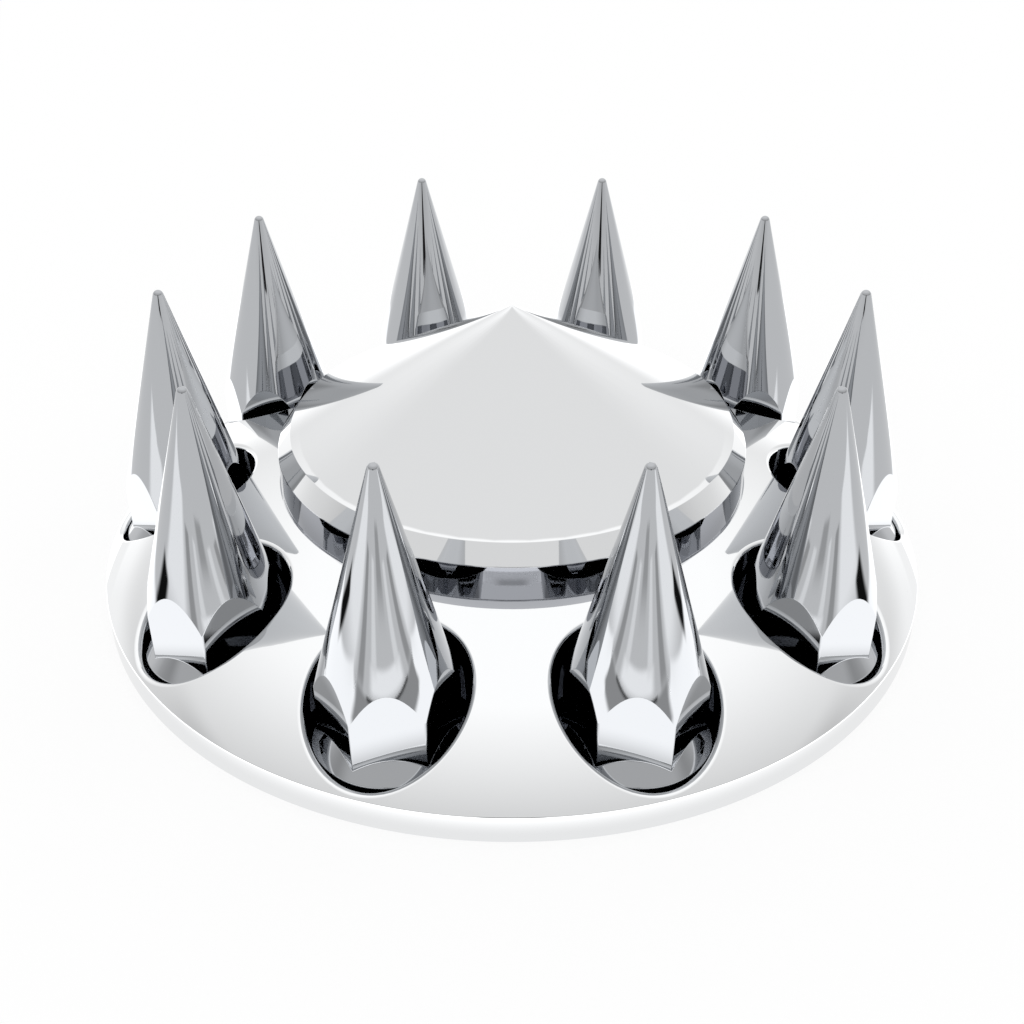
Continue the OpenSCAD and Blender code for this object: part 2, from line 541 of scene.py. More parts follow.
@dataclass(frozen=True)
class BlackNylon:
    """Satin moulded nylon of the sleeves: near black, with the fine grain of a spark-eroded mould.

    Attributes:
        name: the material's name.
        colour: of the moulded surface, as sRGB hex.
        worn_colour: where it is rubbed a little.
        patch_mm: size of the rubbed patches.
        roughness: of the satin surface.
        ior: of nylon.
        grain_mm: size of the mould's grain.
        grain_depth_mm: how deep it is.
    """

    name: str = "black_moulded_nylon"
    colour: str = "1C1C1E"
    worn_colour: str = "2A2A2C"
    patch_mm: float = 9.0
    roughness: float = 0.42
    ior: float = 1.53
    grain_mm: float = 0.35
    grain_depth_mm: float = 0.01

    def material(self) -> Material:
        """Builds the node tree.

        Returns:
            the material.
        """
        made, tree = blank_material(self.name)
        place = add_node(tree, "TexCoord").outputs["Object"]
        patches = add_node(tree, "TexNoise", {"Vector": place, "Scale": 1 / (self.patch_mm * MM)})
        tones = (patches, linear(self.colour), linear(self.worn_colour))
        # The grain breaks up the highlights, which makes the plastic look satin.
        grain = {"Scale": 1 / (self.grain_mm * MM)}
        dress(tree, tones, grain, self.grain_depth_mm, {"Roughness": self.roughness, "IOR": self.ior})
        return made


@dataclass
class Dish:
    """The one-piece dish: domed face, ten round wells, skirt, and the collar under the cap.

    One tenth is made round its well, with columns that fan out from the well's axis to the
    outline of the tenth, and is repeated about the Z axis. Sizes are in millimetres.

    Attributes:
        lug_r: from the dish's axis to a well's axis.
        rim_r: outside of the skirt.
        land_r: outer edge of the flat land round the cap.
        arc_in: how far inside the land's edge the dome's arc has its centre.
        shade_depth: how far down a well the painted shade is full.
        shine_r: radius of the ball whose mirror images the dome takes on near the land.
        cup_steps: columns from the middle of the rim to where a cup meets the skirt.
        arc_steps: columns from there to the side of the tenth.
        side_steps: columns along the side.
        wall_steps: faces down a well's wall.
        back_steps: faces up the back of a cup and up the skirt beside it, which meet.
        under_steps: faces across the dome's underside.
    """

    lug_r: float
    rim_r: float
    land_r: float
    skirt_h: float = 11.5
    land_h: float = 45.4
    arc_in: float = 6.0
    wall: float = 2.5
    rim_round: float = 1.0
    collar_top: float = 55.4
    collar_r: float = 96.8
    hub_r: float = 94.3
    well_r: float = 30.0
    floor_h: float = 6.2
    hole_r: float = 20.98
    lip_round: float = 2.0
    floor_round: float = 1.5
    edge_round: float = 0.4
    shade_depth: float = 18.0
    shine_r: float = 345.0
    cup_steps: int = 6
    arc_steps: int = 14
    side_steps: int = 26
    wall_steps: int = 5
    back_steps: int = 4
    under_steps: int = 6
    centre_r: float = field(init=False)
    centre_z: float = field(init=False)
    arc_r: float = field(init=False)

    def __post_init__(self) -> None:
        """Works out the dome's arc, from the land's edge to the skirt's top.

        Its centre lies arc_in inside the land's edge, and the arc turned round the axis is the dome.
        """
        self.centre_r = self.land_r - self.arc_in
        across = self.rim_r - self.centre_r
        level = self.arc_in**2 + self.land_h**2 - across**2 - self.skirt_h**2
        self.centre_z = level / (2 * (self.land_h - self.skirt_h))
        self.arc_r = math.hypot(across, self.skirt_h - self.centre_z)

    def arc_centre(self, points: Array) -> Array:
        """For each point the centre of the dome's arc at the same angle about Z."""
        return self.centre_r * unit(points * [1, 1, 0]) + self.centre_z * UP

    @property
    def lug(self) -> Array:
        """Where the first well's axis stands."""
        return np.array([self.lug_r, 0.0, 0.0])

    def dome_height(self, xy: Array, moved_in: float = 0.0) -> Array:
        """Height of the dome, or of its arc moved in, over points: centre + root(R^2 - (r - centre)^2)."""
        out = np.linalg.norm(xy[..., :2], axis=-1) - self.centre_r
        return self.centre_z + np.sqrt((self.arc_r - moved_in) ** 2 - out**2)

    def on_dome(self, xy: Array, moved_in: float = 0.0) -> Array:
        """The points lifted to the dome, or to the underside of its wall."""
        return np.concatenate([xy[..., :2], self.dome_height(xy, moved_in)[..., None]], -1)

    def outline(self, outer_r: float, inner_r: float) -> Array:
        """Outline of one tenth: out along an arc, in along a radius, and back along an arc.

        The arc's first stretch ends where the cup's outside meets the inside of the skirt.

        Args:
            outer_r: radius of the outer arc.
            inner_r: radius of the inner arc.

        Returns:
            points that run anticlockwise from the middle of the outer arc, mirrored in Y.
        """
        half = LUG_STEP / 2
        by_cup = np.linspace(0, self.cup_angle, self.cup_steps + 1)[:-1]
        out = np.append(by_cup, np.linspace(self.cup_angle, half, self.arc_steps + 1))
        back = np.linspace(half, 0, self.arc_steps + 1)
        side = np.linspace(outer_r, inner_r, self.side_steps + 1)[1:-1, None] * around(np.array([half]))
        one = np.concatenate([outer_r * around(out), side, inner_r * around(back)])
        return np.concatenate([one, one[-2:0:-1] * [1, -1, 1]])

    @property
    def cup_angle(self) -> float:
        """Angle about Z at which the cup's outside meets the skirt's inside."""
        cup, skirt = self.well_r + self.wall, self.rim_r - self.wall
        return math.acos((skirt**2 + self.lug_r**2 - cup**2) / (2 * skirt * self.lug_r))

    def build(self) -> Shell:
        """All the surfaces of the dish.

        Returns:
            the closed shell.
        """
        shell = Shell()
        turns = [LUG_STEP * k for k in range(LUG_COUNT)]
        # The ball in the rim touches the dome at rim_start, on the ray through both centres.
        out = self.rim_r - self.rim_round - self.centre_r
        rim_start = self.centre_r + out * self.arc_r / (self.arc_r - self.rim_round)
        top = self.outline(rim_start, self.land_r)
        below = self.outline(self.rim_r - self.wall, self.land_in_r)
        shell.add(self.face(top, below), closed=True, turns=turns)
        angle = np.arctan2(below[:, 1], below[:, 0])
        count, cup = len(below), self.cup_steps
        arc = cup + self.arc_steps
        inner = arc + self.side_steps
        rim = np.arange(-arc, arc + 1)
        shell.add(self.rim(np.arctan2(top[:, 1], top[:, 0])[rim]), turns=turns)
        shell.add(self.underside(below).columns(np.arange(cup, count - cup + 1)), turns=turns)
        # Beside the cup the skirt's inside goes straight up from the level of the cup's floor.
        for side in (np.arange(cup, arc + 1), np.arange(-arc, 1 - cup)):
            foot = below[side] + (self.floor_h - self.wall) * UP
            skirt = spaced(foot, self.on_dome(foot, self.wall), self.back_steps)
            # The skirt's inside beside the cup takes the undersides' painted shade.
            shell.add(Rows.of(skirt, -around(angle[side]), HIDDEN_SHADE), turns=turns)
        shell.add(self.collar(angle[inner : count - inner + 1]), turns=turns)
        return shell

    @property
    def land_in_r(self) -> float:
        """Radius at which the dome's underside meets the flat under the land."""
        up = self.land_h - self.wall - self.centre_z
        return self.centre_r + math.sqrt((self.arc_r - self.wall) ** 2 - up**2)

    def face(self, top: Array, below: Array) -> Rows:
        """The seen face from the outline in to the well, its floor, and the floor's underside.

        Args:
            top: outline of the tenth on the dome.
            below: outline of the tenth on the underside.

        Returns:
            rows from the dome's outline to the outside of the cup's floor.
        """
        fan = unit((top - self.lug) * [1, 1, 0])
        under_fan = unit((below - self.lug) * [1, 1, 0])
        lip = self.rolled(self.lug + (self.well_r + self.lip_round) * fan, -fan, self.lip_round, steps=10)
        lip = self.leaned(lip, np.linspace(1, 0, len(lip.points))[:, None])
        reach = np.array(DOME_SHARES)[:, None, None]
        dome = self.on_dome(lip.points[0] + reach * (top - lip.points[0]))
        dome_rows = self.leaned(Rows.of(dome, unit(dome - self.arc_centre(dome))), 1.0)
        corner, hole = (self.lug + r * fan + self.floor_h * UP for r in (self.well_r, self.hole_r))
        # Painted shade: the well's foot and the hole's edges take it in full, the cup's underside the
        # undersides' share.
        wall_foot = rounded_edge(corner, -fan, UP, -self.floor_round, painted_shade=1.0)
        hole_rows = rounded_edge(hole, UP, -fan, self.edge_round, steps=3, painted_shade=1.0)
        hole_under = self.lug + self.hole_r * under_fan + (self.floor_h - self.wall) * UP
        edge = rounded_edge(hole_under, -under_fan, -UP, self.edge_round, steps=3, painted_shade=1.0)
        cup_foot = Rows.of(self.cup_foot(below), -UP, HIDDEN_SHADE)
        # Painted shade darkens the plating down the wall, from 0 at the dome's height to 1 at shade_depth
        # below.
        wall = spaced(lip.points[-1], wall_foot.points[0], self.wall_steps)[1:-1]
        shade = np.clip((self.dome_height(wall) - wall[..., 2]) / self.shade_depth, 0, 1)
        wall_rows = Rows.of(wall, lip.normals[-1], shade)
        return Rows.stack(dome_rows, lip, wall_rows, wall_foot, hole_rows, edge, cup_foot)

    def leaned(self, rows: Rows, share: Numbers) -> Rows:
        """Leans normals outwards near the land, so that the chrome mirrors as part of a ball would.

        The lean is arcsin(r / shine_r) - arcsin((r - centre_r) / arc_r) where that is above 0.
        It is 14 degrees at the land and is gone where the two slopes are equal.

        Args:
            rows: of the dome, or of a lip on it.
            share: how much of the lean they take.

        Returns:
            the rows with their places kept.
        """
        radial = unit(rows.points * [1, 1, 0])
        r = np.linalg.norm(rows.points[..., :2], axis=-1)
        slope = np.arcsin(np.clip((r - self.centre_r) / self.arc_r, -1, 1))
        lean = share * np.maximum(np.arcsin(r / self.shine_r) - slope, 0)
        out, up = np.sum(rows.normals * radial, -1), rows.normals[..., 2]
        change = (np.cos(lean) - 1) * out + np.sin(lean) * up
        height = np.cos(lean) * up - np.sin(lean) * out
        normals = rows.normals + change[..., None] * radial
        normals[..., 2] = height
        return Rows(rows.points, unit(normals), rows.painted_shade)

    def rolled(self, flat: Array, after: Array, radius: float, steps: int) -> Rows:
        """The round of a ball that rolls along an edge, under the dome and inside an upright face.

        Its centre lies one radius under the dome, and the round runs from the dome's normal to
        the upright face's.

        Args:
            flat: where the ball's centre stands, as seen from above.
            after: normals of the upright face.
            radius: of the ball.
            steps: faces across the round.

        Returns:
            rows from the dome down to the upright face.
        """
        centre = self.on_dome(flat, radius)
        return ball_round(centre, unit(centre - self.arc_centre(centre)), after, radius, steps)

    def cup_foot(self, below: Array) -> Array:
        """Lower edge of the cup, which the skirt's inside cuts off where it would stand past it.

        Args:
            below: outline of the tenth on the underside.

        Returns:
            points at well_r + wall from the well's axis, or on the skirt's inside.
        """
        fan = unit((below - self.lug) * [1, 1, 0])
        cup = self.lug + (self.well_r + self.wall) * fan
        past = np.linalg.norm(cup, axis=-1) > self.rim_r - self.wall - WELD_MM
        flat = np.where(past[:, None], below, cup)
        return flat + (self.floor_h - self.wall) * UP

    def underside(self, below: Array) -> Rows:
        """Outside of the cup and the dome's underside, from the cup's lower edge to the outline.

        Args:
            below: outline of the tenth on the underside.

        Returns:
            rows evenly up the cup, then evenly across to the outline under the dome.
        """
        fan = unit((below - self.lug) * [1, 1, 0])
        foot = self.cup_foot(below)
        top = self.on_dome(foot, self.wall)
        # The cup's outside and the dome's underside take the undersides' painted shade.
        cup = Rows.of(spaced(foot, top, self.back_steps), fan, HIDDEN_SHADE)
        dome = self.on_dome(spaced(top, below, self.under_steps), self.wall)
        return Rows.stack(cup, Rows.of(dome, unit(self.arc_centre(dome) - dome), HIDDEN_SHADE))

    def rim(self, angle: Array) -> Rows:
        """The rounded rim, the upright skirt, its lower edge and its inside up to the cups' floors.

        Args:
            angle: where the columns stand about Z.

        Returns:
            rows from the dome down and round to the inside.
        """
        radial = around(angle)
        top = self.rolled((self.rim_r - self.rim_round) * radial, radial, self.rim_round, steps=6)
        inside = self.rim_r - self.wall
        return Rows.stack(
            top,
            rounded_edge(self.rim_r * radial, radial, -UP, self.edge_round, steps=4),
            rounded_edge(inside * radial, -UP, -radial, self.edge_round, steps=4),
            # The skirt's inside takes the undersides' painted shade.
            Rows.of(inside * radial + (self.floor_h - self.wall) * UP, -radial, HIDDEN_SHADE),
        )

    def collar(self, angle: Array) -> Rows:
        """The land, the collar that holds the cap, the hub's bore and the flat under the land.

        Args:
            angle: where the columns stand about Z.

        Returns:
            rows from the land's outer edge over the collar to the dome's underside.
        """
        under = self.land_h - self.wall
        return lathe(
            [
                (self.land_r, self.land_h, 0),
                (self.collar_r, self.land_h, -self.edge_round),
                (self.collar_r, self.collar_top, self.edge_round),
                (self.hub_r, self.collar_top, self.edge_round),
                (self.hub_r, under, self.edge_round),
                (self.land_in_r, under, 0),
            ],
            angle,
            whole=False,
        )


@dataclass
class CentreCap:
    """The pointed cap: upright wall, bevel, cone and rounded point, with fingers inside.

    Sizes are in millimetres.

    Attributes:
        wall_r: outside of the upright wall.
        foot_z: height of its lower edge.
        bevel_in: how far the bevel comes in over its height.
        point_r: radius of the ball at the point, outside.
        point_in_r: the same inside.
        finger_reach: how far the fingers hang below the wall.
    """

    wall_r: float
    foot_z: float
    wall_h: float = 15.1
    bevel_h: float = 7.3
    bevel_in: float = 5.6
    cone_h: float = 52.6
    point_r: float = 1.6
    point_in_r: float = 0.4
    wall: float = 2.5
    crease_round: float = 0.8
    edge_round: float = 0.4
    columns: int = 288
    cone_steps: int = 9
    point_steps: int = 8
    crease_steps: int = 6
    fingers: int = 8
    finger_steps: int = 12
    finger_span: float = math.radians(14)
    finger_r: float = 94.0
    finger_t: float = 2.4
    finger_reach: float = 3.0

    @property
    def lifts(self) -> tuple[float, float, float]:
        """How far the normals of wall, bevel and cone lift above the horizontal."""
        cone_r = self.wall_r - self.bevel_in
        return 0.0, math.atan2(self.bevel_in, self.bevel_h), math.atan2(cone_r, self.cone_h)

    def outline(self, moved_in: float) -> list[tuple[float, float]]:
        """Corners of the wall, bevel and cone with every face moved in.

        A corner moves by moved_in (n1 + n2) / (1 + n1.n2) for the normals of its two faces.

        Args:
            moved_in: how far the faces move.

        Returns:
            (distance from the axis, height) of the wall's foot, the wall's top and the crease
            at the cone's foot.
        """
        wall_top = self.foot_z + self.wall_h
        corners = np.array([[self.wall_r, wall_top], [self.wall_r - self.bevel_in, wall_top + self.bevel_h]])
        faces = [np.array([math.cos(a), math.sin(a)]) for a in self.lifts]
        moved = [
            tuple(c - moved_in * (n + m) / (1 + n @ m)) for c, n, m in zip(corners, faces[:2], faces[1:])
        ]
        return [(self.wall_r - moved_in, self.foot_z), *moved]

    def tip(self, moved_in: float, radius: float, angles: Array, inside: bool) -> Rows:
        """The rounded point: a ball that touches the cone's face.

        Args:
            moved_in: how far the cone's face is moved in.
            radius: of the ball.
            angles: where the columns stand.
            inside: True makes the rows look down into the cap.

        Returns:
            rows from the cone to the pole.
        """
        lift = self.lifts[2]
        apex = self.foot_z + self.wall_h + self.bevel_h + self.cone_h - moved_in / math.sin(lift)
        return ball_end(apex - radius / math.sin(lift), radius, lift, angles, self.point_steps, inside)

    def build(self) -> Shell:
        """The cap's outside, foot and inside.

        Returns:
            the closed shell.
        """
        angles = np.linspace(0, 2 * math.pi, self.columns, endpoint=False)
        radial = around(angles)
        wall, bevel, cone = radial, *(slope_normal(angles, lift) for lift in self.lifts[1:])
        outer, inner = ([r * radial + z * UP for r, z in self.outline(a)] for a in (0, self.wall))
        point = self.tip(0, self.point_r, angles, inside=False)
        cone_foot = rounded_edge(outer[2], bevel, cone, self.crease_round, self.crease_steps)
        cone_points = spaced(cone_foot.points[-1], point.points[0], self.cone_steps)[1:-1]
        # Painted shade: the wall and its foot take it in full, and it fades out over the round into the
        # bevel.
        fade = np.linspace(1, 0, self.crease_steps + 1)[:, None]
        inside = Rows.stack(
            rounded_edge(inner[0], -UP, -radial, self.edge_round, steps=3),
            rounded_edge(inner[1], -wall, -bevel, -self.edge_round, steps=3),
            rounded_edge(inner[2], -bevel, -cone, -self.edge_round, steps=3),
            self.tip(self.wall, self.point_in_r, angles, inside=True),
        )
        outside = Rows.stack(
            rounded_edge(outer[0], -UP, radial, self.edge_round, steps=3, painted_shade=1.0),
            rounded_edge(outer[1], wall, bevel, self.crease_round, self.crease_steps, fade),
            cone_foot,
            Rows.of(cone_points, cone),
            point,
        )
        foot = Rows.of(np.stack([inside.points[0], outside.points[0]]), -UP)
        return Shell.closed(outside, inside, foot)

    def grip(self) -> Shell:
        """The fingers that press on the collar from inside, each a bent bar rooted in the bevel.

        Returns:
            one shell with every finger closed.
        """
        half = self.finger_span / 2
        angles = np.linspace(-half, half, self.finger_steps + 1)
        top = self.foot_z + self.wall_h + self.bevel_h / 2
        low, inner = self.foot_z - self.finger_reach, self.finger_r - self.finger_t
        corners = ((inner, low), (self.finger_r, low), (self.finger_r, top), (inner, top))
        bar = lathe([(*corner, self.edge_round) for corner in corners], angles, steps=3)
        shell = Shell()
        turns = [2 * math.pi * (k + 1) / self.fingers for k in range(self.fingers)]
        shell.add(bar, turns=turns)
        for column, side in ((0, -1), (-1, 1)):
            ring = bar.points[:-1, column]
            normal = side * np.cross(UP, around(np.array([angles[column]]))[0])
            fan = np.stack([ring, np.broadcast_to(ring.mean(0), ring.shape)])
            shell.add(Rows.of(fan, normal), closed=True, turns=turns)
        return shell


@dataclass
class NutCover:
    """A hollow spike: round foot flange, hexagon that the cone cuts, and a rounded tip.

    Sizes are in millimetres.

    Attributes:
        foot_z: height at which its foot stands.
        foot_slope: how steeply the flange's top rises towards the hexagon.
        flat_r: from the axis to a flat of the hexagon.
        waist_round: radius of the inside edge where hexagon and flange meet.
        cone_spread: above 1 crowds the cone's rows at its foot.
    """

    foot_z: float
    height: float
    foot_r: float = 28.8
    foot_edge_h: float = 7.0
    foot_slope: float = math.radians(49)
    flat_r: float = 22.68
    cone_half_angle: float = math.radians(15.1)
    tip_r: float = 2.2
    bore_r: float = 20.68
    wall: float = 2.2
    corner_round: float = 0.9
    edge_round: float = 0.5
    shoulder_round: float = 0.9
    flange_round: float = 1.0
    waist_round: float = 0.7
    corner_steps: int = 7
    flat_steps: int = 16
    cone_steps: int = 11
    cone_spread: float = 1.15
    tip_steps: int = 9

    def hexagon(self) -> tuple[Array, Array]:
        """Points and normals round a hexagon with rounded corners.

        A flat's points lie at flat_r / cos(a) for an angle a from its middle. A corner's lie
        on a circle of corner_round whose centre is (flat_r - corner_round) / cos 30 out.

        Returns:
            points and normals, anticlockwise from a corner that points along +X.
        """
        half = SIXTH / 2
        inner = self.flat_r - self.corner_round
        swing = np.linspace(-half, half, self.corner_steps + 1)
        corner = inner / math.cos(half) * around(0 * swing) + self.corner_round * around(swing)
        reach = math.atan(inner * math.tan(half) / self.flat_r)
        a = np.linspace(-reach, reach, self.flat_steps + 1)[1:-1]
        flat = (self.flat_r / np.cos(a))[:, None] * around(a + half)
        flat_normal = np.broadcast_to(around(np.array([half])), flat.shape)
        points, normals = np.concatenate([corner, flat]), np.concatenate([around(swing), flat_normal])
        return tuple(np.concatenate([turned(v, SIXTH * k) for k in range(6)]) for v in (points, normals))

    def build(self, hex_turn: float) -> Shell:
        """The whole spike about its own axis, foot at height 0.

        Args:
            hex_turn: angle about Z by which the hexagon is turned from pointing along +X.

        Returns:
            the closed shell.
        """
        flats, flat_normals = (turned(v, hex_turn) for v in self.hexagon())
        angle = np.arctan2(flats[:, 1], flats[:, 0])
        radial = around(angle)
        reach = np.linalg.norm(flats[:, :2], axis=1)
        half = self.cone_half_angle
        apex = self.height - self.tip_r + self.tip_r / math.sin(half)
        cone_normal = slope_normal(angle, half)
        slope = slope_normal(angle, math.pi / 2 - self.foot_slope)
        waist_z = self.foot_edge_h + (self.foot_r - reach) * math.tan(self.foot_slope)
        shoulder_z = apex - reach / math.tan(half)
        shoulder_edge = flats + shoulder_z[:, None] * UP
        shoulder = rounded_edge(shoulder_edge, flat_normals, cone_normal, self.shoulder_round, steps=6)
        tip = ball_end(self.height - self.tip_r, self.tip_r, half, angle, self.tip_steps)
        cone = spaced(shoulder.points[-1], tip.points[0], self.cone_steps, self.cone_spread)[1:-1]
        bore_top = apex - (self.bore_r + self.wall / math.cos(half)) / math.tan(half)
        cavity_top = apex - self.wall / math.sin(half)
        foot, bore = self.foot_r * radial, self.bore_r * radial
        # Painted shade: the bore, the foot's edge and the hollow inside take it in full.
        outside = Rows.stack(
            rounded_edge(bore, -radial, -UP, self.edge_round, steps=3, painted_shade=1.0),
            rounded_edge(foot, -UP, radial, self.edge_round, steps=4, painted_shade=1.0),
            rounded_edge(foot + self.foot_edge_h * UP, radial, slope, self.flange_round, steps=5),
            rounded_edge(flats + waist_z[:, None] * UP, slope, flat_normals, -self.waist_round, steps=5),
            shoulder,
            Rows.of(cone, cone_normal),
            tip,
        )
        inside = Rows.stack(
            Rows.of(outside.points[0], -radial, 1.0),
            rounded_edge(bore + bore_top * UP, -radial, -cone_normal, 0, painted_shade=1.0),
            Rows.of(np.broadcast_to(cavity_top * UP, radial.shape), -cone_normal, 1.0),
        )
        return Shell.closed(outside, inside)


@dataclass
class ThreadedSleeve:
    """A sleeve pushed onto a lug nut: foot ring, threaded outside, hexagonal socket and stop.

    Sizes are in millimetres.

    Attributes:
        foot_z: height at which its foot stands.
        thread_plain: how much stays plain below and above the thread.
        socket_flat_r: from the axis to a flat of the socket.
        stud_r: radius of the hole in the stop, which the stud passes.
    """

    foot_z: float
    height: float
    foot_r: float = 24.98
    foot_t: float = 3.2
    thread_r: float = 20.58
    thread_depth: float = 0.7
    thread_plain: tuple[float, float] = (1.0, 0.8)
    thread_steps: int = 72
    pitch: float = 3.0
    socket_flat_r: float = 16.7
    socket_h: float = 25.4
    stud_r: float = 12.0
    edge_round: float = 0.5
    columns: int = 120

    def thread(self, angles: Array) -> Rows:
        """The threaded outside, whose radius waves once with each pitch of height.

        Radius = thread_r - depth (1 - cos(2 pi z / pitch - angle)) / 2, and the wave fades out
        over half a pitch at both ends.

        Args:
            angles: where the columns stand about Z.

        Returns:
            rows from the foot ring to the top.
        """
        low, high = self.foot_t + self.thread_plain[0], self.height - self.thread_plain[1]
        z = np.linspace(low, high, self.thread_steps + 1)[:, None]
        fade = np.clip(np.minimum(z - low, high - z) / self.pitch * 2, 0, 1)
        phase = 2 * math.pi * z / self.pitch - angles
        r = self.thread_r - fade * self.thread_depth * (1 - np.cos(phase)) / 2
        steepness = -fade * self.thread_depth * np.sin(phase) * math.pi / self.pitch
        normals = unit(around(angles)[None] - steepness[..., None] * UP)
        return Rows.of(r[..., None] * around(angles) + z[..., None] * UP, normals)

    def build(self, hex_turn: float) -> Shell:
        """The whole sleeve about its own axis, foot at height 0.

        Args:
            hex_turn: angle about Z of the socket's first corner.

        Returns:
            the closed shell.
        """
        angles = hex_turn + np.linspace(0, 2 * math.pi, self.columns, endpoint=False)
        radial = around(angles)
        from_flat = np.mod(angles - hex_turn, SIXTH) - SIXTH / 2
        socket = (self.socket_flat_r / np.cos(from_flat))[:, None] * radial
        facing = -around(angles - from_flat)
        foot, thread, stud = (r * radial for r in (self.foot_r, self.thread_r, self.stud_r))
        ball = self.edge_round
        outside = Rows.stack(
            rounded_edge(foot, -UP, radial, ball, steps=4),
            rounded_edge(foot + self.foot_t * UP, radial, UP, ball, steps=4),
            rounded_edge(thread + self.foot_t * UP, UP, radial, -ball, steps=4),
            self.thread(angles),
            rounded_edge(thread + self.height * UP, radial, UP, ball, steps=4),
            rounded_edge(stud + self.height * UP, UP, -radial, ball, steps=3),
            rounded_edge(stud + self.socket_h * UP, -radial, -UP, ball, steps=3),
            rounded_edge(socket + self.socket_h * UP, -UP, facing, 0),
            rounded_edge(socket, facing, -UP, 0),
            Rows.of(foot - ball * radial, -UP),
        )
        return Shell.closed(outside)


def hexagon_turn(lug: Array) -> float:
    """Angle about Z of the first corner of a lug's hexagon, which stops at an angle of its own.

    The turns from pointing outwards run from the front of the left half to its back, and the
    right half mirrors them.

    Args:
        lug: where the lug stands.

    Returns:
        the angle in radians.
    """
    outwards = math.atan2(lug[1], lug[0])
    side = -math.copysign(1.0, lug[0])
    from_front = math.acos(-lug[1] / math.hypot(*lug[:2])) - LUG_STEP / 2
    return outwards + side * math.radians(HEX_TURNS[round(from_front / LUG_STEP)])


class AxleCover:
    """The whole cover, with its sizes and places taken from the frame."""

    def __init__(self, loaded: dict) -> None:
        """Reads the frame.
        """
        self.lugs = {
            j["child"]: np.array([j["pos_m"][0], j["pos_m"][1], 0.0]) / MM
            for j in loaded["joints"]
            if j["child"].startswith("nut_cover")
        }
        lug_r = float(np.linalg.norm(self.lugs["nut_cover_01"]))
        rim_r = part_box("cover")[1].x / MM
        cap_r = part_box("hub_cap")[1].x / MM
        self.dish = Dish(lug_r=lug_r, rim_r=rim_r, land_r=cap_r + LAND_CLEAR_MM)
        self.cap = CentreCap(wall_r=cap_r, foot_z=self.dish.land_h)
        low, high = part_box("nut_cover_01")
        self.spike = NutCover(foot_z=low.z / MM, height=(high.z - low.z) / MM)
        low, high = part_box("nut_sleeve_01")
        self.sleeve = ThreadedSleeve(foot_z=low.z / MM, height=(high.z - low.z) / MM)
        self.finish = {
            Slot.DISH: Chrome("bright_chrome_on_dish").material(),
            # The cap's plating goes to this colour where its painted shade is full.
            Slot.CAP: Chrome("bright_chrome_on_cap", painted_shade_colour="A4A6AC").material(),
            # The spikes' plating is set darker than the dish's as painted shade, standing in for the darker
            # reflections on the spikes.
            Slot.SPIKE: Chrome("spike_chrome_with_painted_shade", "B6B8BB", "7A7C80").material(),
            Slot.SLEEVE: BlackNylon().material(),
        }

    def build(self) -> None:
        """Makes every piece and reports it."""
        large = (
            (self.dish.build(), "chromed_dish", "cover", Slot.DISH),
            (self.cap.build(), "pointed_cap", "hub_cap", Slot.CAP),
            (self.cap.grip(), "cap_fingers", "hub_cap", Slot.CAP),
        )
        for shell, name, node, slot in large:
            piece(shell.mesh(name, np.zeros(3)), node, [node], self.finish[slot])
        for body, lug in sorted(self.lugs.items()):
            number, turn = body[-2:], hexagon_turn(lug)
            spike = self.spike.build(turn).mesh(f"spike_{number}", lug + self.spike.foot_z * UP)
            piece(spike, body, [body], self.finish[Slot.SPIKE])
            place = lug + self.sleeve.foot_z * UP
            sleeve = self.sleeve.build(turn).mesh(f"threaded_sleeve_{number}", place)
            piece(sleeve, "cover", [f"nut_sleeve_{number}"], self.finish[Slot.SLEEVE])


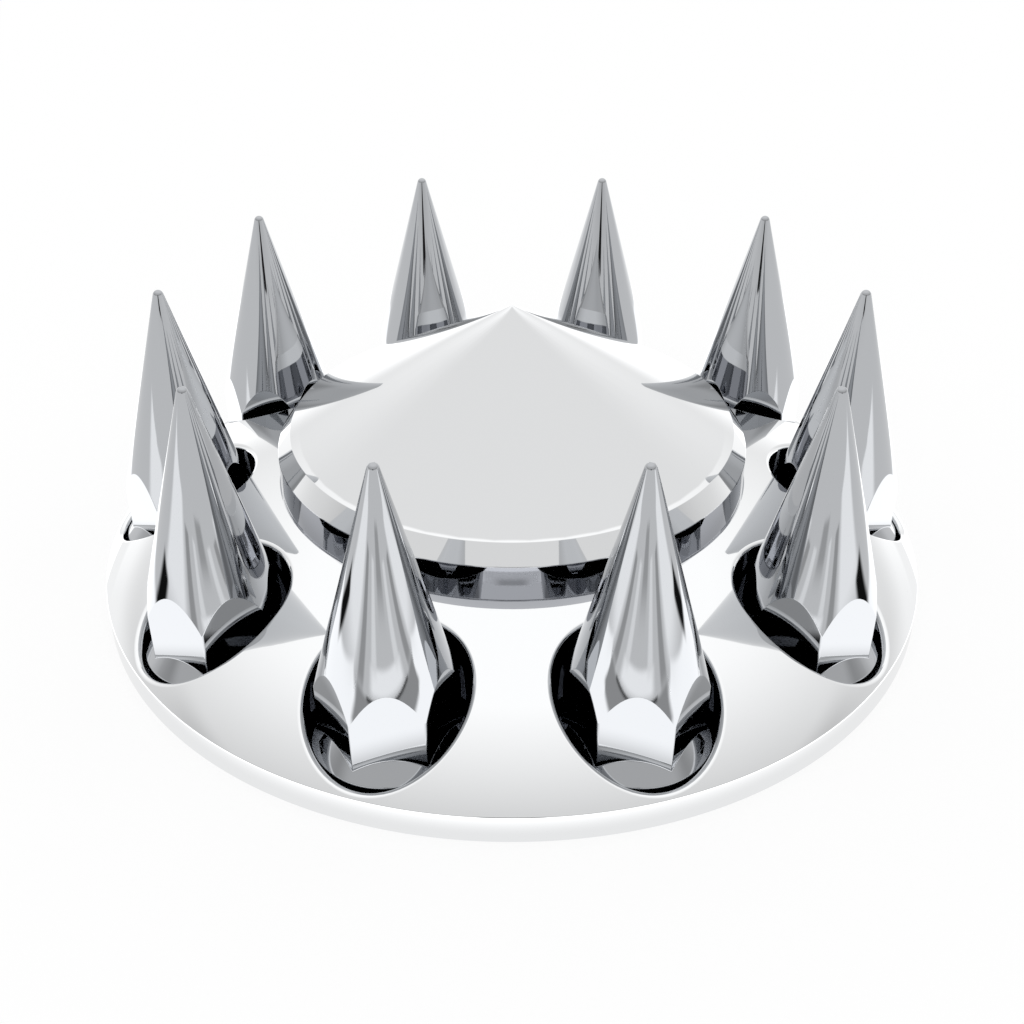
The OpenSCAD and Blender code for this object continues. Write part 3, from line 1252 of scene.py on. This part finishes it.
@dataclass(frozen=True)
class Patch:
    """A board, flag or strip that lies round the cover and that only reflections show.

    Attributes:
        name: what it is.
        turn: degrees that its edges are turned from the camera's side.
        reach_m: where it starts and ends, from the cover's axis.
        tone: how bright it is, where 1 is white.
        soft: share of its width, and of its length, that fades out at each edge.
        both_sides: True lays its mirror image on the other side too.
        rise_m: how high it lies where it starts and where it ends.
        across: points from side to side.
        along: points from start to end.
    """

    name: str
    turn: tuple[float, float]
    reach_m: tuple[float, float]
    tone: float
    soft: tuple[float, float] = (0.2, 0.2)
    both_sides: bool = True
    rise_m: tuple[float, float] = (0.0, 0.0)
    across: int = 24
    along: int = 4

    def material(self) -> Material:
        """Plain light that fades out towards the patch's edges.

        Returns:
            the material.
        """
        made, tree = blank_material(self.name)
        parts = add_node(tree, "SeparateXYZ", {"Vector": add_node(tree, "UVMap", uv_map="patch")})
        shares = []
        for axis, soft in zip("XY", self.soft):
            # Rises from 0 at both edges to 0.5 in the middle.
            inside = add_node(tree, "Math", {0: parts.outputs[axis], 1: 0.5}, operation="PINGPONG")
            shares.append(add_node(tree, "MapRange", {"Value": inside, "From Max": soft}, **SMOOTH))
        cover = add_node(tree, "Math", dict(enumerate(shares)), operation="MULTIPLY")
        light = add_node(tree, "Emission", {"Color": (self.tone, self.tone, self.tone, 1.0)})
        mix = add_node(tree, "MixShader", {0: cover, 1: add_node(tree, "BsdfTransparent"), 2: light})
        add_node(tree, "OutputMaterial", {"Surface": mix})
        return made

    def lay(self, lift_m: float) -> None:
        """Lays the patch as a sector of a ring: a point at (turn, reach) is reach (sin turn, -cos turn).

        Args:
            lift_m: its height, which keeps patches that overlap apart.
        """
        material = self.material()
        reach = np.linspace(*self.reach_m, self.along)[:, None]
        rise = np.linspace(*self.rise_m, self.along)[:, None]
        uv = np.stack(np.meshgrid(np.linspace(0, 1, self.across), np.linspace(0, 1, self.along)), -1)
        quads = grid_quads(self.along, self.across)[:, [0, 3, 2, 1]]
        for side in (1, -1) if self.both_sides else (1,):
            turn = np.radians(np.linspace(*self.turn, self.across))[None, :] * side
            height = lift_m + rise + 0 * turn
            points = np.stack([reach * np.sin(turn), -reach * np.cos(turn), height], -1)
            mesh = bpy.data.meshes.new(self.name)
            mesh.from_pydata(points.reshape(-1, 3).tolist(), [], quads.tolist())
            layer = mesh.uv_layers.new(name="patch")
            layer.data.foreach_set("uv", uv.reshape(-1, 2)[quads.reshape(-1)].ravel())
            mesh.materials.append(material)
            put_on_stage(mesh, only_reflected=True)


def put_on_stage(mesh: Mesh, only_reflected: bool = False) -> None:
    """Puts a mesh in the scene, for the studio round the cover.

    Args:
        mesh: the finished mesh, whose name the object takes.
        only_reflected: True shows it in reflections alone, and lets it cast no light or shade.
    """
    obj = bpy.data.objects.new(mesh.name, mesh)
    bpy.context.scene.collection.objects.link(obj)
    if only_reflected:
        for ray in ("camera", "diffuse", "transmission", "volume_scatter", "shadow"):
            setattr(obj, f"visible_{ray}", False)


@dataclass(frozen=True)
class Studio:
    """White floor, plain soft light, and the boards and flags that the chrome shows.

    Tones are linear, with 1 for white. Directions are unit vectors: Y points to the back, Z up.

    Attributes:
        plain_light: what lights the floor evenly from all round.
        shadow_share: how much of the floor's white the cover's shadow can take.
        back_edge: Y of a direction at which the room's back starts, and where it is full.
        sheet_half_m: half the sides of the white sheet under the cover.
        sheet_edge: where the sheet ends and the room's floor begins, over its half side.
        painted_foot_shadow: share of the sheet's tone left close to the skirt, a painted shadow that only
            reflections show.
        foot_reach_m: where that starts to lift, and where it is gone, from the cover's axis.
        ceiling_edge: Z of a direction at which the horizon ends, and where the ceiling is full.
        window_lift: how high the middle of the round window at the back stands.
        window_edge: how far from its middle the ceiling is full, and how far the window.
        dark_band: Z of a direction between which the dark band fades in and out again.
        dark_front: Y of a direction at which it has faded out, and from which it is full.
        card_half_turn: degrees that the grey card over the cap reaches to each side.
        card_gap_m: how far it stands over the cone.
    """

    floor_size_m: float = 40.0
    floor_colour: str = "F4F4F4"
    plain_light: float = 0.8
    shadow_share: float = 0.3
    room_tone: float = 0.98
    back_tone: float = 1.2
    back_edge: tuple[float, float] = (0.55, 0.9)
    sheet_half_m: tuple[float, float] = (0.26, 0.30)
    sheet_edge: tuple[float, float] = (0.98, 1.08)
    sheet_tone: float = 1.9
    painted_foot_shadow: float = 0.47
    foot_reach_m: tuple[float, float] = (0.18, 0.2)
    ceiling_tone: float = 0.735
    ceiling_edge: tuple[float, float] = (0.06, 0.26)
    window_tone: float = 1.1
    window_lift: float = math.radians(65)
    window_edge: tuple[float, float] = (math.radians(69), math.radians(28))
    dark_band: tuple[float, float, float, float] = (0.2, 0.26, 0.38, 0.5)
    dark_front: tuple[float, float] = (0.25, -0.25)
    dark_tone: float = 0.5
    card_tone: float = 0.81
    card_half_turn: float = 97.0
    card_gap_m: float = 0.004

    def horizon(self, tree: NodeTree, direction: NodeOrSocket) -> Node:
        """Tone low down in a direction: the room's grey, and lighter at the back.

        Args:
            tree: the node tree.
            direction: a unit vector.

        Returns:
            the node that gives the tone.
        """
        back = add_node(tree, "SeparateXYZ", {"Vector": direction}).outputs["Y"]
        ends = (back, *self.back_edge, self.room_tone, self.back_tone)
        return add_node(tree, "MapRange", dict(zip(RANGE, ends)), **SMOOTH)

    def floor_tone(self, tree: NodeTree) -> Node:
        """What reflections show of the floor: a white sheet under the cover with a painted shadow round the
        skirt, and the room's grey round it.

        Args:
            tree: the node tree.

        Returns:
            the node that gives the tone.
        """
        place = add_node(tree, "TexCoord").outputs["Object"]
        half_x, half_y = self.sheet_half_m
        scale = (1 / half_x, 1 / half_y, 0.0)
        shares = add_node(tree, "VectorMath", {0: place, 1: scale}, operation="MULTIPLY")
        sizes = add_node(tree, "VectorMath", {0: shares}, operation="ABSOLUTE")
        parts = add_node(tree, "SeparateXYZ", {"Vector": sizes}).outputs
        share = add_node(tree, "Math", {0: parts["X"], 1: parts["Y"]}, operation="MAXIMUM")
        far = self.horizon(tree, add_node(tree, "VectorMath", {0: place}, operation="NORMALIZE"))
        reach = add_node(tree, "VectorMath", {0: place}, operation="LENGTH").outputs["Value"]
        # Painted shadow: the sheet's tone drops close to the skirt.
        ends = (reach, *self.foot_reach_m, self.painted_foot_shadow * self.sheet_tone, self.sheet_tone)
        near = add_node(tree, "MapRange", dict(zip(RANGE, ends)), **SMOOTH)
        ends = (share, *self.sheet_edge, near, far)
        return add_node(tree, "MapRange", dict(zip(RANGE, ends)), **SMOOTH)

    def floor(self) -> None:
        """A large white floor just under the skirt, on which the cover still casts a soft shadow."""
        half, low = self.floor_size_m / 2, -FLOOR_DROP_MM * MM
        mesh = bpy.data.meshes.new("studio_floor")
        corners = [(-half, -half, low), (half, -half, low), (half, half, low), (-half, half, low)]
        mesh.from_pydata(corners, [], [(0, 1, 2, 3)])
        made, tree = blank_material("white_studio_floor")
        path = add_node(tree, "LightPath").outputs
        plain = add_node(tree, "BsdfDiffuse", {"Color": linear(self.floor_colour)})
        share = self.shadow_share
        # To the camera most of the white is the floor's own light, so the cover's shadow stays pale.
        shaded = add_node(tree, "BsdfDiffuse", {"Color": (share, share, share, 1.0)})
        lit = add_node(tree, "Emission", {"Strength": 1.0 - share * self.plain_light})
        white = add_node(tree, "AddShader", {0: shaded, 1: lit})
        seen = add_node(tree, "MixShader", {0: path["Is Camera Ray"], 1: plain, 2: white})
        mirrored = add_node(tree, "Emission", {"Color": WHITE, "Strength": self.floor_tone(tree)})
        rays = {0: path["Is Glossy Ray"], 1: path["Is Transmission Ray"]}
        through = add_node(tree, "Math", rays, operation="MAXIMUM")
        mix = add_node(tree, "MixShader", {0: through, 1: seen, 2: mirrored})
        add_node(tree, "OutputMaterial", {"Surface": mix})
        mesh.materials.append(made)
        put_on_stage(mesh)

    def patches(self) -> list[Patch]:
        """The boards, strips and flags that lie round the cover.

        Returns:
            the patches, from the bottom one up.
        """
        return [
            Patch("white_board", (34.0, 72.0), (0.29, 1.6), 1.55, (0.2, 0.15)),
            Patch("near_strip", (-22.0, 22.0), (0.40, 0.53), 1.6, (0.15, 0.3), both_sides=False),
            Patch("narrow_strip", (10.0, 20.0), (0.45, 1.3), 1.3, (0.35, 0.1)),
            Patch("dark_strip", (25.0, 35.0), (0.36, 1.2), 0.55, (0.3, 0.1)),
            Patch("dark_edge", (-35.0, 35.0), (0.295, 0.41), 0.5, (0.06, 0.2), both_sides=False),
            Patch("dark_stand", (-9.0, 9.0), (0.6, 2.4), 0.6, (0.3, 0.3), both_sides=False),
            Patch("dark_post", (-9.0, 9.0), (1.2, 1.2), 0.02, (0.15, 0.02), False, rise_m=(0.25, 0.6)),
            Patch("dark_line", (-24.0, 24.0), (0.385, 0.412), 0.1, (0.06, 0.5), both_sides=False),
            Patch("black_flag", (60.0, 76.0), (0.26, 0.43), 0.01, (0.3, 0.2)),
        ]

    def cap_card(self, cap: CentreCap) -> Patch:
        """A grey card bent close over the front of the cap's cone.

        Args:
            cap: the cap it stands over.

        Returns:
            the card.
        """
        crease_r, crease_z = (v * MM for v in cap.outline(0)[2])
        rise = (crease_z + cap.cone_h * MM + self.card_gap_m, crease_z + self.card_gap_m)
        turn = (-self.card_half_turn, self.card_half_turn)
        reach, soft = (0.0, crease_r), (0.25, 0.01)
        return Patch("grey_cap_card", turn, reach, self.card_tone, soft, both_sides=False, rise_m=rise)

    def surroundings(self) -> None:
        """A world that is white to the camera, plain light to the floor, and a toned room in reflections.

        In reflections it is white in a wide round window high at the back, fades to the ceiling's
        grey away from it, and turns to the room's grey near the horizon, with a dark band low
        round the front half.
        """
        world = bpy.data.worlds.new("studio_light")
        bpy.context.scene.world = world
        world.use_nodes = True
        tree = world.node_tree
        tree.nodes.clear()
        path = add_node(tree, "LightPath").outputs
        direction = add_node(tree, "TexCoord").outputs["Generated"]
        parts = add_node(tree, "SeparateXYZ", {"Vector": direction}).outputs
        window = (0.0, math.cos(self.window_lift), math.sin(self.window_lift))
        towards = add_node(tree, "VectorMath", {0: direction, 1: window}, operation="DOT_PRODUCT")
        ends = (parts["Z"], *self.ceiling_edge, self.horizon(tree, direction), self.ceiling_tone)
        room = add_node(tree, "MapRange", dict(zip(RANGE, ends)), **SMOOTH)
        ceiling, full = (math.cos(angle) for angle in self.window_edge)
        ends = (towards.outputs["Value"], ceiling, full, room, self.window_tone)
        tone = add_node(tree, "MapRange", dict(zip(RANGE, ends)))
        low, near, far, high = self.dark_band
        limits = ((parts["Z"], low, near), (parts["Z"], high, far), (parts["Y"], *self.dark_front))
        share, *others = (add_node(tree, "MapRange", dict(zip(RANGE, ends)), **SMOOTH) for ends in limits)
        for other in others:
            share = add_node(tree, "Math", {0: share, 1: other}, operation="MULTIPLY")
        shown = add_node(tree, "MapRange", {"Value": share, "To Min": tone, "To Max": self.dark_tone})
        # White where the camera looks, toned where a mirror does, and plain for all other light.
        plain, toned, white = (
            add_node(tree, "Background", {"Color": WHITE, "Strength": strength})
            for strength in (self.plain_light, shown, 1.0)
        )
        mirrored = add_node(tree, "MixShader", {0: path["Is Glossy Ray"], 1: plain, 2: toned})
        rays = {0: path["Is Camera Ray"], 1: path["Is Transmission Ray"]}
        clear = add_node(tree, "Math", rays, operation="MAXIMUM")
        mix = add_node(tree, "MixShader", {0: clear, 1: mirrored, 2: white})
        add_node(tree, "OutputWorld", {"Surface": mix})


@dataclass(frozen=True)
class Viewpoint:
    """The photograph's camera, solved from the ten spike tips on the lug circle."""

    back_mm: float = 496.12
    height_mm: float = 341.6
    pitch_down: float = math.radians(32.924)
    focal_px: float = 1323.3
    image_px: int = 1024
    sensor_mm: float = 36.0
    clip_m: tuple[float, float] = (0.01, 100.0)

    def place(self) -> None:
        """Adds the camera, looking along +Y and down."""
        data = bpy.data.cameras.new("camera")
        data.sensor_width = self.sensor_mm
        data.lens = self.focal_px * self.sensor_mm / self.image_px
        data.clip_start, data.clip_end = self.clip_m
        camera = bpy.data.objects.new("camera", data)
        camera.location = Vector((0.0, -self.back_mm, self.height_mm)) * MM
        camera.rotation_euler = (math.pi / 2 - self.pitch_down, 0.0, 0.0)
        bpy.context.scene.collection.objects.link(camera)
        bpy.context.scene.camera = camera


def main() -> None:
    """Builds the cover, the studio and the camera."""
    logging.basicConfig(level=logging.INFO, format="%(name)s %(message)s")
    bpy.context.scene.view_settings.view_transform = "Standard"
    Viewpoint().place()
    cover = AxleCover(frame)
    cover.build()
    studio = Studio()
    studio.floor()
    for number, patch in enumerate([*studio.patches(), studio.cap_card(cover.cap)], 1):
        patch.lay(number * PATCH_GAP_MM * MM)
    studio.surroundings()


if __name__ == "__main__":
    main()
